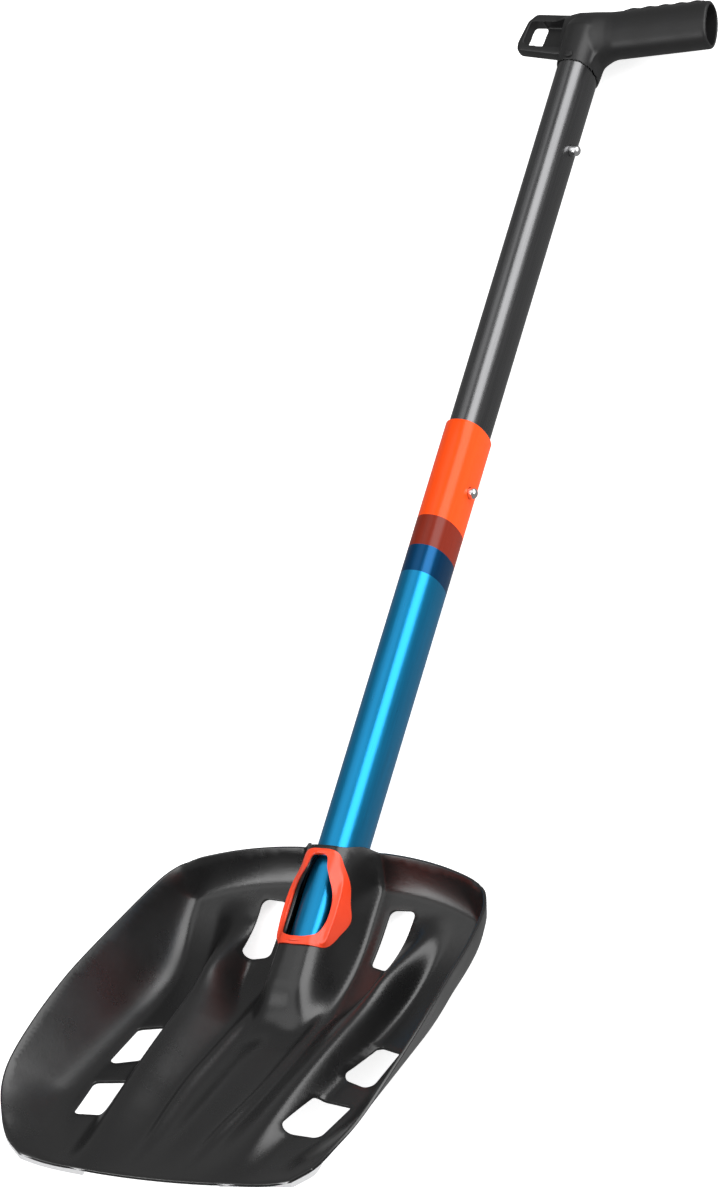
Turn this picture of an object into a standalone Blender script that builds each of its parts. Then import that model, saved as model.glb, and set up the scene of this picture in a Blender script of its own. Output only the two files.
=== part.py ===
"""A two-piece telescopic avalanche shovel, lying on its back, in metres with +Z up.

X runs across the blade, Y runs along the shaft towards the grip, and the scoop faces +Z. Every
piece hangs from one empty whose origin is where the shaft's axis passes the blade's top edge, so
the shapes below are written from there: "along" is the distance from the top edge towards the tip,
and a height is measured from the shaft's axis.
"""

import math

import bmesh
import bpy
from mathutils import Matrix, Vector

# ---------------------------------------------------------------- driving dimensions
AXIS_HEIGHT = 0.0228  # the shaft's axis above the ground
TOP_EDGE_Y = -0.1716  # the blade's top edge, with the whole object centred on Y = 0

BLADE_LENGTH = 0.2680  # top edge to tip, measured along the shaft's axis
SHEET = 0.0020
CHANNEL_HEIGHT = -0.0145  # the flat channels under the top edge
CREST_HEIGHT = 0.0236  # the tunnel over the shaft
TUNNEL_HALF_WIDTH = 0.0213

GAP = 0.0003  # between pieces that touch
SLIDING_GAP = 0.00035

LOWER_SHAFT = (0.0130, 0.0189)  # half width across X and across Z
LOWER_WALL = 0.0013
LOWER_SHAFT_Y = (-0.0950, 0.2900)
UPPER_SHAFT = (0.0114, 0.0173)
UPPER_WALL = 0.0012
UPPER_SHAFT_Y = (0.2050, 0.5845)
SHAFT_SQUARENESS = 2.35  # 2 is an ellipse; a little more is the slightly boxy oval of the tubes

SLEEVE_WALL = 0.0014
SLEEVE_LOW = -0.0980
MOUTH_Y = -0.0010  # where the liner's slanting mouth crosses the axis
MOUTH_SLANT = 0.40  # how far it leans back for each unit of height
BACK_PLATE_Y = (-0.0960, -0.0040)

BUTTON_RADIUS = 0.0035
BUTTON_HOLE = 0.0038
BUTTON_TIP = 0.0180
EXTEND_BUTTON_Y = 0.2480
STOW_BUTTON_Y = 0.4995
BLADE_BUTTON_Y = -0.0720
BLADE_BUTTON_TIP = 0.0214
SPRING_THICKNESS = 0.0006
SPRING_WIDTH = 0.0080

GRIP_TILT = math.radians(8.5)
GRIP_SECTION = (0.0162, 0.0121)  # half height in the grip's plane, half depth across it
GRIP_BORE = (0.0140, 0.0097)
GRIP_AXIS_Y = 0.5841  # where the grip tube's axis crosses the shaft's
GRIP_END_X = 0.0832
GRIP_COLLAR_Y = 0.5562
GRIP_RIVET_Y = 0.5605
GRIP_RIVET_RADIUS = 0.0016


# ---------------------------------------------------------------- helpers
def clear_scene():
    for obj in list(bpy.data.objects):
        bpy.data.objects.remove(obj)


def material(name, colour, roughness, metallic=0.0):
    made = bpy.data.materials.new(name)
    made.use_nodes = True
    shader = made.node_tree.nodes["Principled BSDF"]
    shader.inputs["Base Color"].default_value = (*colour, 1.0)
    shader.inputs["Roughness"].default_value = roughness
    shader.inputs["Metallic"].default_value = metallic
    return made


def smooth(value, low, high):
    """0 below low, 1 above high, and an S curve between."""
    t = min(max((value - low) / (high - low), 0.0), 1.0)
    return t * t * (3.0 - 2.0 * t)


def through_points(points, at):
    """The smooth curve through (position, value) points, read at one position."""
    if at <= points[0][0]:
        return points[0][1]
    for i in range(len(points) - 1):
        (x0, y0), (x1, y1) = points[i], points[i + 1]
        if at > x1:
            continue
        before = points[max(i - 1, 0)]
        after = points[min(i + 2, len(points) - 1)]
        slope0 = (y1 - before[1]) / (x1 - before[0])
        slope1 = (after[1] - y0) / (after[0] - x0)
        span = x1 - x0
        t = (at - x0) / span
        return (
            y0 * (1 + 2 * t) * (1 - t) ** 2
            + slope0 * span * t * (1 - t) ** 2
            + y1 * t * t * (3 - 2 * t)
            + slope1 * span * t * t * (t - 1)
        )
    return points[-1][1]


def oval(half_x, half_z, steps=32, squareness=SHAFT_SQUARENESS):
    """A closed oval in the XZ plane, as (x, z) pairs."""
    found = []
    for i in range(steps):
        angle = 2 * math.pi * (i + 0.5) / steps
        c, s = math.cos(angle), math.sin(angle)
        x = math.copysign(abs(c) ** (2 / squareness), c) * half_x
        z = math.copysign(abs(s) ** (2 / squareness), s) * half_z
        found.append((x, z))
    return found


def half_width_at(z, half_x, half_z):
    """The half width of an oval at this height."""
    return half_x * (1 - (abs(z) / half_z) ** SHAFT_SQUARENESS) ** (1 / SHAFT_SQUARENESS)


def oval_loop(half_x, half_z, y, steps=32):
    return [Vector((x, y, z)) for x, z in oval(half_x, half_z, steps)]


def circle_loop(radius, along, steps=16):
    """A circle square to X, at X = along."""
    turn = 2 * math.pi / steps
    return [
        Vector((along, radius * math.cos(i * turn), radius * math.sin(i * turn)))
        for i in range(steps)
    ]


def mesh_object(name, mesh, parent, finish):
    obj = bpy.data.objects.new(name, mesh)
    bpy.context.scene.collection.objects.link(obj)
    obj.parent = parent
    if finish:
        obj.data.materials.append(finish)
    return obj


def loft(name, loops, parent, finish, ring=False, smooth_angle=40):
    """One closed body through the loops. A ring joins its last loop to its first; any other
    body is closed by a face on each end."""
    bm = bmesh.new()
    rows = [[bm.verts.new(point) for point in loop] for loop in loops]
    pairs = list(zip(rows, rows[1:]))
    if ring:
        pairs.append((rows[-1], rows[0]))
    for first, second in pairs:
        for i in range(len(first)):
            j = (i + 1) % len(first)
            bm.faces.new((first[i], first[j], second[j], second[i]))
    if not ring:
        bm.faces.new(rows[0])
        bm.faces.new(rows[-1])
    bmesh.ops.recalc_face_normals(bm, faces=bm.faces)
    if bm.calc_volume(signed=True) < 0:
        bmesh.ops.reverse_faces(bm, faces=bm.faces)
    mesh = bpy.data.meshes.new(name)
    bm.to_mesh(mesh)
    bm.free()
    mesh.shade_smooth()
    mesh.set_sharp_from_angle(angle=math.radians(smooth_angle))
    return mesh_object(name, mesh, parent, finish)


def prism(name, outline, depth, parent, finish=None):
    """An outline in the XY plane, carried from the first depth to the second along Z."""
    loops = [[Vector((x, y, z)) for x, y in outline] for z in depth]
    return loft(name, loops, parent, finish, smooth_angle=30)


def cutter(obj):
    obj.hide_render = True
    obj.display_type = "WIRE"
    return obj


def boolean(obj, other, operation="DIFFERENCE"):
    made = obj.modifiers.new(f"{operation.lower()} {other.name}", "BOOLEAN")
    made.operation = operation
    made.object = other


def bore_cutter(name, radius, centre, direction, length, parent, steps=20):
    """A round cutter of this length that starts at centre and runs along direction."""
    loops = [circle_loop(radius, along, steps) for along in (0.0, length)]
    made = cutter(loft(name, loops, parent, None))
    made.location = centre
    made.rotation_mode = "QUATERNION"
    made.rotation_quaternion = Vector((1, 0, 0)).rotation_difference(Vector(direction))
    return made


def rounded(corners, radii, steps=4):
    """An outline with its corners rounded. Corners are (x, y) in order, and radii is one number
    for all of them or one for each."""
    found = []
    count = len(corners)
    for i, corner in enumerate(corners):
        radius = radii[i] if isinstance(radii, tuple) else radii
        here = Vector(corner)
        before = (Vector(corners[i - 1]) - here).normalized()
        after = (Vector(corners[(i + 1) % count]) - here).normalized()
        half = before.angle(after) / 2
        reach = radius / math.tan(half)
        centre = here + (before + after).normalized() * radius / math.sin(half)
        start = here + before * reach - centre
        turn = before.angle(after) - math.pi
        if start.x * (here + after * reach - centre).y - start.y * (here + after * reach - centre).x > 0:
            turn = -turn
        for k in range(steps + 1):
            spun = Matrix.Rotation(turn * k / steps, 2) @ start
            found.append(tuple(centre + spun))
    return found


# ---------------------------------------------------------------- the blade's surface
# The side outline in plan, as (along, half width), from the rear corner to the tip corner.
SIDE = (
    (0.0190, 0.0970), (0.0246, 0.1026), (0.0380, 0.1087), (0.0666, 0.1139),
    (0.0990, 0.1172), (0.1300, 0.1199), (0.1650, 0.1207), (0.2000, 0.1192),
    (0.2180, 0.1157), (0.2330, 0.1097), (0.2500, 0.1005), (0.2605, 0.0880),
)
# The height of the side walls' rim, as (along, height).
RIM = (
    (0.0190, 0.0045), (0.0380, 0.0128), (0.0666, 0.0281), (0.0990, 0.0471),
    (0.1300, 0.0640), (0.1767, 0.0863), (0.2045, 0.0970), (0.2330, 0.1030),
    (0.2605, 0.1050),
)


def rear_edge(x):
    """The rear edge in plan, set back over the tunnel, where the socket's mouth is cut slanting."""
    set_back = 0.0080 * math.exp(-((abs(x) / 0.0165) ** 6))
    return 0.0020 + 0.0170 * min(abs(x) / SIDE[0][1], 1.0) ** 2.8 + set_back


def tip_edge(x):
    return BLADE_LENGTH - (BLADE_LENGTH - SIDE[-1][0]) * (abs(x) / SIDE[-1][1]) ** 2


def channel(along):
    """The height of the plate's channels: level under the tunnel, then rising to the tip."""
    start, end, slope = 0.045, 0.128, 0.66
    run = min(max(along - start, 0.0), end - start)
    beyond = max(along - end, 0.0)
    return CHANNEL_HEIGHT + slope * (run * run / (2 * (end - start)) + beyond)


def tunnel(x, along):
    """How far the tunnel over the shaft stands above the channels."""
    height = max(CREST_HEIGHT - channel(along), 0.0) * (1 - smooth(along, 0.100, 0.150))
    above_foot = (math.exp(-((abs(x) / TUNNEL_HALF_WIDTH) ** 4)) - 0.12) / 0.88
    return height * (above_foot + math.hypot(above_foot, 0.03)) / 2


def centre_ridges(x, along):
    """The low ridge down the middle and the crease each side of it."""
    fade = 1 - smooth(along, 0.205, 0.262)
    middle = 0.0040 * math.exp(-((x / 0.009) ** 2)) * smooth(along, 0.115, 0.160)
    crease_at = 0.0243 - 0.006 * smooth(along, 0.17, 0.25)
    height = 0.0046 * smooth(along, 0.085, 0.140)
    crease = height * math.exp(-(((abs(x) - crease_at) / 0.0036) ** 2))
    return (middle + crease) * fade


def side_rib(x, along):
    """The long raised rib between the tunnel and the strap holes."""
    centre = 0.0605 - 0.06 * (along - 0.045) + 0.004 * math.exp(-max(along - 0.045, 0) / 0.02)
    height = 0.0205 * smooth(along, 0.030, 0.095)
    height *= 1 - min(max((along - 0.115) / 0.150, 0.0), 1.0) ** 2
    across = abs(x) - centre
    inner = 0.0170 + 0.0130 * smooth(along, 0.085, 0.130)
    width = inner if across < 0 else 0.0150
    return height * (1 - smooth(abs(across), 0.0, width))


def walls(x, along, half_width):
    """The side walls and the rear wall, and the round corner where they meet."""
    start = 0.086 + 0.007 * (1 - smooth(along, 0.045, 0.095)) - 0.022 * smooth(along, 0.200, 0.262)
    start = min(start, half_width - 0.0150)
    run = half_width - start
    fillet = min(0.0160, 0.8 * run)
    side = min(max(abs(x) - start, 0.0), run)
    side_rise = side * side / (2 * fillet) if side < fillet else side - fillet / 2
    rim_height = through_points(RIM, along) - channel(along)
    side_height = rim_height * side_rise / (run - fillet / 2)
    run = 0.0180
    rear = 1 - min(max(along - rear_edge(x), 0.0) / run, 1.0)
    rim = 0.0010 + 0.0035 * (min(abs(x) / SIDE[0][1], 1.0)) ** 4
    rear_height = (rim - CHANNEL_HEIGHT) * rear**1.5
    return side_height + rear_height * (1 - side_height / rim_height)


def blade_height(x, along, half_width=0.120):
    tunnel_share = math.exp(-((abs(x) / TUNNEL_HALF_WIDTH) ** 6))
    return (
        channel(along)
        + tunnel(x, along)
        + centre_ridges(x, along)
        + side_rib(x, along)
        + walls(x, along, half_width) * (1 - tunnel_share)
    )


# ---------------------------------------------------------------- the blade and its holes
COLUMNS = (
    0.0, 0.035, 0.075, 0.105, 0.130, 0.150, 0.170, 0.190, 0.215, 0.250, 0.300, 0.360,
    0.420, 0.470, 0.520, 0.570, 0.640, 0.710, 0.770, 0.830, 0.885, 0.945, 1.0,
)
ROWS = (
    0.0190, 0.0215, 0.0246, 0.0290, 0.0340, 0.0400, 0.0480, 0.0570, 0.0670, 0.0770,
    0.0870, 0.0970, 0.1070, 0.1170, 0.1270, 0.1390, 0.1510, 0.1640, 0.1770, 0.1900,
    0.2030, 0.2150, 0.2250, 0.2350, 0.2440, 0.2520, 0.2605,
)


def blade_point(share, row):
    """The point at this share of the half width, on the row that meets the side at row."""
    half_width = through_points(SIDE, row)
    x = share * half_width
    down = (row - SIDE[0][0]) / (SIDE[-1][0] - SIDE[0][0])
    near_rear = (rear_edge(x) - rear_edge(SIDE[0][1])) * (1 - down)
    near_tip = (tip_edge(x) - SIDE[-1][0]) * down if abs(x) < SIDE[-1][1] else 0.0
    along = row + near_rear + near_tip
    return Vector((x, -along, blade_height(x, along, max(half_width, abs(x)))))


# The strap holes on the right side: four (x, along) corners from the inner rear one outwards, and
# the radius of each.
STRAP_HOLES = {
    "upper": (
        ((0.0350, 0.0315), (0.0520, 0.0305), (0.0501, 0.0743), (0.0340, 0.0705)),
        (0.0045, 0.0045, 0.0050, 0.0045),
    ),
    "middle": (
        ((0.0715, 0.1340), (0.0872, 0.1382), (0.0876, 0.1735), (0.0650, 0.1660)),
        (0.0030, 0.0030, 0.0050, 0.0070),
    ),
    "lower": (
        ((0.0618, 0.1858), (0.0852, 0.1895), (0.0812, 0.2195), (0.0560, 0.2180)),
        (0.0025, 0.0030, 0.0050, 0.0060),
    ),
}


def window_outline(grow=0.0, steps=40):
    """The window over the shaft, as (x, along): a drop, narrow at the top and square at the foot."""
    top, foot, half_width = 0.0145, 0.0695, 0.0128
    found = []
    for i in range(steps):
        angle = 2 * math.pi * (i + 0.5) / steps
        c, s = math.cos(angle), math.sin(angle)
        along = (top + foot) / 2 - (foot - top) / 2 * math.copysign(abs(s) ** 0.72, s)
        share = (along - top) / (foot - top)
        reach = half_width * (0.30 + 0.70 * smooth(share, -0.15, 0.72))
        x = reach * math.copysign(abs(c) ** 0.72, c)
        out = Vector((c * 0.9, s)).normalized() * grow
        found.append((x + out.x, along - out.y))
    return found


def make_blade(root, finish):
    shares = [-share for share in reversed(COLUMNS[1:])] + list(COLUMNS)
    bm = bmesh.new()
    rows = [[bm.verts.new(blade_point(share, row)) for share in shares] for row in ROWS]
    for first, second in zip(rows, rows[1:]):
        for i in range(len(first) - 1):
            bm.faces.new((first[i], second[i], second[i + 1], first[i + 1]))
    mesh = bpy.data.meshes.new("blade")
    bm.to_mesh(mesh)
    bm.free()
    mesh.shade_smooth()
    blade = mesh_object("blade", mesh, root, finish)
    sheet = blade.modifiers.new("sheet", "SOLIDIFY")
    sheet.thickness = SHEET
    sheet.offset = -1
    sheet.use_even_offset = True
    for label, (corners, radii) in STRAP_HOLES.items():
        for side in (1, -1):
            outline = [(side * x, -along) for x, along in rounded(corners, radii)]
            hole = prism(f"hole_{label}_{side}", outline, (-0.05, 0.15), root)
            boolean(blade, cutter(hole))
    opening = [(x, -along) for x, along in window_outline(0.0024)]
    boolean(blade, cutter(prism("window_opening", opening, (0.002, 0.06), root)))
    return blade


# ---------------------------------------------------------------- the socket
def mouth_loop(half_x, half_z, back=0.0):
    """A loop round the slanting mouth of the liner, which leans with the blade's rear edge."""
    loop = oval_loop(half_x, half_z, 0.0)
    return [Vector((p.x, MOUTH_Y - back - MOUTH_SLANT * max(p.z, -0.0080), p.z)) for p in loop]


def make_sleeve(root, finish):
    """The moulded liner behind the tunnel that the shaft slides into, with a slanting mouth."""
    bore = (LOWER_SHAFT[0] + SLIDING_GAP, LOWER_SHAFT[1] + SLIDING_GAP)
    outer = (bore[0] + SLEEVE_WALL, bore[1] + SLEEVE_WALL)
    loops = [
        oval_loop(*outer, SLEEVE_LOW),
        mouth_loop(*outer, 0.0006),
        mouth_loop(outer[0] - 0.0006, outer[1] - 0.0006),
        mouth_loop(*bore),
        oval_loop(*bore, SLEEVE_LOW),
    ]
    sleeve = loft("socket_sleeve", loops, root, finish, ring=True)
    opening = [(x, -along) for x, along in window_outline(0.0024)]
    boolean(sleeve, cutter(prism("sleeve_window", opening, (0.004, 0.06), root)))
    place = (0, BLADE_BUTTON_Y, 0)
    boolean(sleeve, bore_cutter("button_passage", BUTTON_HOLE, place, (0, 0, -1), 0.04, root))
    return sleeve


def make_back_plate(root, finish):
    """The plate that closes the tunnel behind the liner, with a flat back to rest on."""
    liner = (
        LOWER_SHAFT[0] + SLIDING_GAP + SLEEVE_WALL + GAP,
        LOWER_SHAFT[1] + SLIDING_GAP + SLEEVE_WALL + GAP,
    )
    wing_top, wing_end, wing = CHANNEL_HEIGHT - SHEET - GAP, 0.0270, 0.0012
    inside = sorted(point for point in oval(*liner, 40) if point[1] < wing_top)
    right = half_width_at(wing_top, *liner)
    profile = [(-wing_end, wing_top), (-wing_end, wing_top - wing)]
    profile += [(-0.0190, -AXIS_HEIGHT), (0.0190, -AXIS_HEIGHT)]
    profile += [(wing_end, wing_top - wing), (wing_end, wing_top), (right, wing_top)]
    profile += inside[::-1] + [(-right, wing_top)]
    low, high = BACK_PLATE_Y
    loops = [[Vector((x, y, z)) for x, z in profile] for y in (low, high)]
    plate = loft("back_plate", loops, root, finish, smooth_angle=30)
    boolean(plate, bpy.data.objects["button_passage"])
    return plate


def frame_outline(steps=40):
    """The outer edge of the window frame, as (x, along)."""
    top, foot = 0.0118, 0.0772
    found = []
    for i in range(steps):
        angle = 2 * math.pi * (i + 0.5) / steps
        c, s = math.cos(angle), math.sin(angle)
        along = (top + foot) / 2 - (foot - top) / 2 * math.copysign(abs(s) ** 0.62, s)
        share = (along - top) / (foot - top)
        reach = 0.0095 + 0.0098 * math.sin(math.pi * min(share / 1.12, 1.0)) ** 0.75
        reach -= 0.0010 * smooth(share, 0.75, 1.0)
        found.append((reach * math.copysign(abs(c) ** 0.55, c), along))
    return found


def make_window_frame(root, finish):
    """The moulded frame: it saddles the tunnel round the window and lines the opening."""
    inner = window_outline()
    lip = window_outline(0.0019)
    outer = frame_outline()

    def between(share):
        return [
            (a[0] + (b[0] - a[0]) * share, a[1] + (b[1] - a[1]) * share)
            for a, b in zip(lip, outer)
        ]

    def over(outline, lift):
        return [Vector((x, -s, blade_height(x, s) + lift)) for x, s in outline]

    def crown(outline, lift, share):
        """The outside of the frame, fuller than the tunnel at its shoulders."""
        found = []
        for x, s in outline:
            fuller = -0.0145 + 0.0403 * math.exp(-((abs(x) / 0.0222) ** 5))
            low = blade_height(x, s) + lift
            found.append(Vector((x, -s, max(low, fuller) * share + low * (1 - share))))
        return found

    inside_foot = [
        Vector((x, -s, 0.0011 + LOWER_SHAFT[1] * (1 - min(abs(x) / 0.0152, 1.0) ** 2.35) ** 0.4255))
        for x, s in inner
    ]
    lip_foot = [Vector((l[0], -l[1], p.z)) for l, p in zip(lip, inside_foot)]
    loops = [
        over(outer, 0.0006),
        crown(between(0.97), 0.0022, 0.6),
        crown(between(0.80), 0.0030, 1.0),
        crown(between(0.45), 0.0030, 1.0),
        crown(between(0.10), 0.0030, 1.0),
        [Vector((p.x, p.y, q.z - 0.0004)) for p, q in zip(over(inner, 0), crown(inner, 0.0030, 1.0))],
        inside_foot,
        lip_foot,
    ]
    underside = [over(between(share), 0.0009) for share in (0.0, 0.15, 0.30, 0.45, 0.60, 0.75, 0.88)]
    return loft("window_frame", loops + underside, root, finish, ring=True)


# ---------------------------------------------------------------- the shafts
def make_tube(name, half, wall, span, parent, finish):
    """An oval tube with a small round on its outer rims."""
    x, z = half
    low, high = span
    edge = 0.0006
    loops = [
        oval_loop(x - edge, z - edge, low),
        oval_loop(x, z, low + edge),
        oval_loop(x, z, high - edge),
        oval_loop(x - edge, z - edge, high),
        oval_loop(x - wall, z - wall, high),
        oval_loop(x - wall, z - wall, low),
    ]
    return loft(name, loops, parent, finish, ring=True)


def make_plug(name, half, wall, end, parent, finish):
    """A plug pushed into a tube's foot, with a flange as wide as the tube."""
    x, z = half
    inner = wall + GAP
    loops = [
        oval_loop(x - 0.0010, z - 0.0010, end - 0.0020),
        oval_loop(x, z, end - 0.0012),
        oval_loop(x, z, end - GAP),
        oval_loop(x - inner, z - inner, end - GAP),
        oval_loop(x - inner, z - inner, end + 0.0070),
        oval_loop(x - inner - 0.0010, z - inner - 0.0010, end + 0.0080),
    ]
    return loft(name, loops, parent, finish)


def make_button(name, y, direction, tip, flange, parent, finish):
    """A snap button: its flange stays inside the tube, and its round head stands out of it."""
    r = BUTTON_RADIUS
    loops = [
        circle_loop(r + 0.0011, flange - 0.0015),
        circle_loop(r + 0.0011, flange),
        circle_loop(r, flange),
        circle_loop(r, tip - 0.0022),
        circle_loop(r * 0.90, tip - 0.0011),
        circle_loop(r * 0.66, tip - 0.0004),
        circle_loop(r * 0.34, tip),
    ]
    button = loft(name, loops, parent, finish)
    button.location = (0, y, 0)
    if direction == "-Z":
        button.rotation_euler = (0, math.pi / 2, 0)
    return button


def make_spring(name, y, bend_y, leg, far_leg, direction, parent, finish):
    """The V leaf spring behind a button: one leg lies under it, the other on the far wall."""
    past = 0.0065 if bend_y < y else -0.0065
    path = [
        (leg, y + past), (leg, y - past), (leg - 0.0030, (y + bend_y) / 2),
        ((leg + far_leg) / 2 + 0.0012, bend_y), ((leg + far_leg) / 2 - 0.0012, bend_y),
        (far_leg + 0.0030, (y + bend_y) / 2), (far_leg, y - past), (far_leg, y + past),
    ]
    half = SPRING_THICKNESS / 2
    sides = ([], [])
    for i, point in enumerate(path):
        here = Vector(point)
        before = Vector(path[i - 1]) if i else here
        after = Vector(path[i + 1]) if i + 1 < len(path) else here
        along = (after - before).normalized()
        normal = Vector((-along.y, along.x)) * half
        sides[0].append(here + normal)
        sides[1].append(here - normal)
    outline = [tuple(p) for p in sides[0] + sides[1][::-1]]
    width = SPRING_WIDTH / 2
    spring = prism(name, outline, (-width, width), parent, finish)
    if direction == "-Z":
        spring.rotation_euler = (0, math.pi / 2, 0)
    return spring


def make_shafts(root, finishes):
    lower = make_tube("lower_shaft", LOWER_SHAFT, LOWER_WALL, LOWER_SHAFT_Y, root, finishes["blue"])
    boolean(lower, bore_cutter("lower_hole", BUTTON_HOLE, (0, EXTEND_BUTTON_Y, 0), (1, 0, 0), 0.03, root))
    boolean(lower, bore_cutter("foot_hole", BUTTON_HOLE, (0, BLADE_BUTTON_Y, 0), (0, 0, -1), 0.03, root))
    make_plug("lower_shaft_plug", LOWER_SHAFT, LOWER_WALL, LOWER_SHAFT_Y[0], root, finishes["plastic"])

    upper = make_tube("upper_shaft", UPPER_SHAFT, UPPER_WALL, UPPER_SHAFT_Y, root, finishes["grey"])
    for label, y in (("extend", EXTEND_BUTTON_Y), ("stow", STOW_BUTTON_Y)):
        boolean(upper, bore_cutter(f"{label}_hole", BUTTON_HOLE, (0, y, 0), (1, 0, 0), 0.03, root))
    make_plug("upper_shaft_plug", UPPER_SHAFT, UPPER_WALL, UPPER_SHAFT_Y[0], root, finishes["plastic"])


def make_locks(root, finishes):
    inner = UPPER_SHAFT[0] - UPPER_WALL
    flange = inner - 0.0004
    leg = flange - 0.0015 - 0.0003 - SPRING_THICKNESS / 2
    far_leg = -(inner - 0.0008)
    for label, y in (("extend", EXTEND_BUTTON_Y), ("stow", STOW_BUTTON_Y)):
        make_button(f"{label}_lock_button", y, "X", BUTTON_TIP, flange, root, finishes["steel"])
        make_spring(f"{label}_lock_spring", y, y - 0.029, leg, far_leg, "X", root, finishes["spring"])
    inner = LOWER_SHAFT[1] - LOWER_WALL
    flange = inner - 0.0015
    leg = flange - 0.0015 - 0.0003 - SPRING_THICKNESS / 2
    y = BLADE_BUTTON_Y
    make_button("blade_lock_button", y, "-Z", BLADE_BUTTON_TIP, flange, root, finishes["steel"])
    make_spring("blade_lock_spring", y, y + 0.018, leg, -(inner - 0.0010), "-Z", root, finishes["spring"])


# ---------------------------------------------------------------- the grip
# The flat eye that a carabiner or a cord goes through: outlines as (x, y), half its depth.
EYE = (
    (0.0, 0.5700), (-0.0185, 0.5695), (-0.0465, 0.5725), (-0.0472, 0.5790),
    (-0.0442, 0.5950), (-0.0395, 0.6005), (0.0, 0.6000),
)
EYE_HOLE = ((-0.0330, 0.5755), (-0.0430, 0.5770), (-0.0415, 0.5945), (-0.0315, 0.5945))
EYE_POCKET = ((-0.0160, 0.5755), (-0.0340, 0.5755), (-0.0325, 0.5945), (-0.0160, 0.5945))
EYE_DEPTH = 0.0045


def grip_section(x, half_y, half_z, steps=32):
    """A section of the grip tube, square to its tilted axis, at this distance along it."""
    axis = Vector((math.cos(GRIP_TILT), math.sin(GRIP_TILT), 0))
    across = Vector((-axis.y, axis.x, 0))
    start = Vector((0, GRIP_AXIS_Y, 0)) + axis * (x / axis.x)
    return [start + across * a + Vector((0, 0, b)) for a, b in oval(half_y, half_z, steps, 2.3)]


def make_grip(root, finishes):
    """The moulded grip: a collar over the shaft, a tube to the right and a flat eye to the left."""
    half_y, half_z = GRIP_SECTION
    tube = [
        grip_section(-0.0100, half_y * 0.80, half_z * 0.72),
        grip_section(0.0, half_y * 0.97, half_z * 0.95),
        grip_section(0.0200, half_y, half_z),
        grip_section(GRIP_END_X - 0.0015, half_y, half_z),
        grip_section(GRIP_END_X, half_y - 0.0008, half_z - 0.0008),
    ]
    grip = loft("grip", tube, root, finishes["grip"])
    eye = rounded(EYE, 0.0030)
    loops = [
        [Vector((x * 0.975, 0.5870 + (y - 0.5870) * 0.93, z)) for x, y in eye]
        if abs(z) > EYE_DEPTH - 0.0001
        else [Vector((x, y, z)) for x, y in eye]
        for z in (-EYE_DEPTH, -EYE_DEPTH + 0.0015, EYE_DEPTH - 0.0015, EYE_DEPTH)
    ]
    boolean(grip, cutter(loft("grip_eye", loops, root, None)), "UNION")
    x, z = UPPER_SHAFT[0] + GAP + 0.0012, UPPER_SHAFT[1] + GAP + 0.0012
    collar = [
        oval_loop(x - 0.0008, z - 0.0006, GRIP_COLLAR_Y),
        oval_loop(x - 0.0003, z, GRIP_COLLAR_Y + 0.0060),
        oval_loop(x + 0.0008, z, 0.5840),
        oval_loop(x, z - 0.0022, 0.5890),
        oval_loop(x - 0.0010, z - 0.0070, 0.5935),
        oval_loop(x - 0.0030, z - 0.0120, 0.5955),
    ]
    boolean(grip, cutter(loft("grip_collar", collar, root, None)), "UNION")
    web = [(0.0070, 0.5585), (0.0124, 0.5600), (0.0136, 0.5680), (0.0162, 0.5740), (0.0215, 0.5780)]
    web += [(0.0100, 0.5850)]
    boolean(grip, cutter(prism("grip_web", web, (-0.0090, 0.0090), root)), "UNION")
    bore = [oval_loop(UPPER_SHAFT[0] + GAP, UPPER_SHAFT[1] + GAP, y) for y in (0.50, 0.5850)]
    boolean(grip, cutter(loft("grip_shaft_bore", bore, root, None)))
    mouth = [grip_section(0.0240, *GRIP_BORE), grip_section(0.1000, *GRIP_BORE)]
    boolean(grip, cutter(loft("grip_mouth", mouth, root, None)))
    hole = rounded(EYE_HOLE, 0.0028)
    boolean(grip, cutter(prism("eye_hole", hole, (-0.03, 0.03), root)))
    pocket = rounded(EYE_POCKET, 0.0010)
    boolean(grip, cutter(prism("eye_pocket", pocket, (0.0015 - EYE_DEPTH, 0.03), root)))
    for side in (1, -1):
        direction = (0, 0, side)
        name = "grip_rivet_front" if side > 0 else "grip_rivet_back"
        make_grip_rivet(name, side, root, finishes["spring"])
        radius = GRIP_RIVET_RADIUS + 0.0003
        hole = bore_cutter(f"{name}_hole", radius, (0, GRIP_RIVET_Y, 0), direction, 0.04, root, 12)
        boolean(grip, hole)
        boolean(bpy.data.objects["upper_shaft"], hole)
    make_grip_pad(root, finishes["pad"])


def make_grip_rivet(name, side, root, finish):
    """A blind rivet through the collar and the shaft's wall."""
    inner = UPPER_SHAFT[1] - UPPER_WALL
    head = UPPER_SHAFT[1] + GAP + 0.0012 + GAP
    radius = GRIP_RIVET_RADIUS
    loops = [
        circle_loop(radius * 0.6, inner - 0.0016, 12),
        circle_loop(radius, inner - 0.0012, 12),
        circle_loop(radius, head, 12),
        circle_loop(radius * 1.75, head, 12),
        circle_loop(radius * 1.55, head + 0.0006, 12),
        circle_loop(radius * 0.90, head + 0.0010, 12),
    ]
    rivet = loft(name, loops, root, finish)
    rivet.location = (0, GRIP_RIVET_Y, 0)
    rivet.rotation_euler = (0, -side * math.pi / 2, 0)


def pad_loop(along, half_width, low, high):
    """A flat loop square to the grip tube: from low to high, measured from the tube's crown."""
    axis = Vector((math.cos(GRIP_TILT), math.sin(GRIP_TILT), 0))
    across = Vector((-axis.y, axis.x, 0))
    centre = Vector((0, GRIP_AXIS_Y, 0)) + axis * along
    crown = GRIP_SECTION[0]
    shares = (-1.0, -0.6, 0.0, 0.6, 1.0)
    path = [(share * half_width, low) for share in shares]
    path += [(share * half_width, high - 0.0006 * share**2) for share in reversed(shares)]
    return [centre + across * (crown + up) + Vector((0, 0, z)) for z, up in path]


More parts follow.
